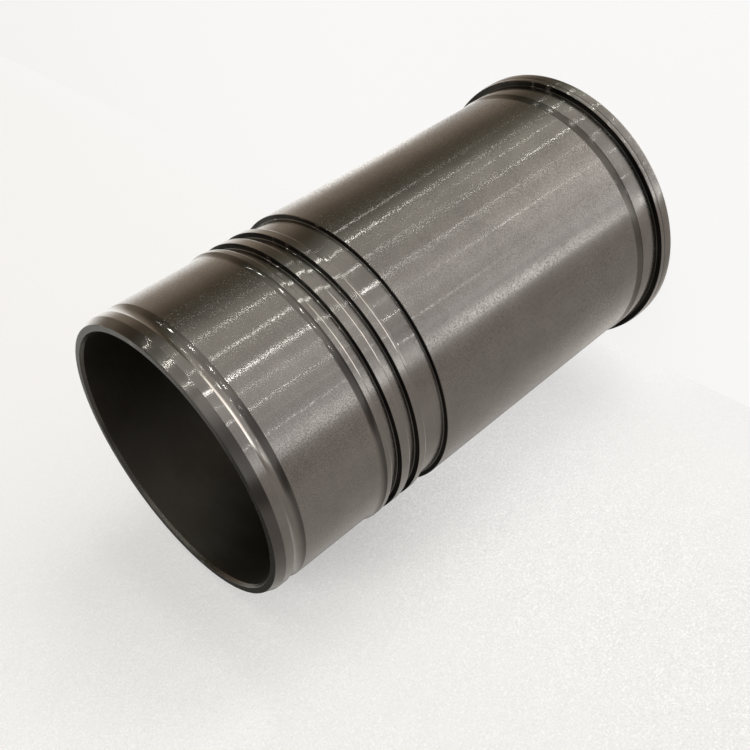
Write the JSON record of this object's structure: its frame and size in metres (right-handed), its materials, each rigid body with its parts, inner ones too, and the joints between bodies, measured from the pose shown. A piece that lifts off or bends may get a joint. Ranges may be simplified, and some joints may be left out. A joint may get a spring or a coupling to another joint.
{
  "type": "cylinder liner",
  "caption": "Wet cylinder liner: a turned cast-iron sleeve with a flange, a pilot, a plain barrel, a grooved seal belt and a chamfered skirt round an open bore.",
  "frame": {"origin": "centre of the bore at the flange's face, which the liner stands on", "axes": "+Z along the bore axis from the flange to the skirt end, so the liner stands with its head end down; in an engine it hangs the other way up"},
  "size_m": [0.143, 0.143, 0.247],
  "materials": {
    "liner_iron": "fine turned, dark satin"
  },
  "bodies": {
    "root": {"cylinder_liner": "liner_iron"}
  },
  "joints": []
}
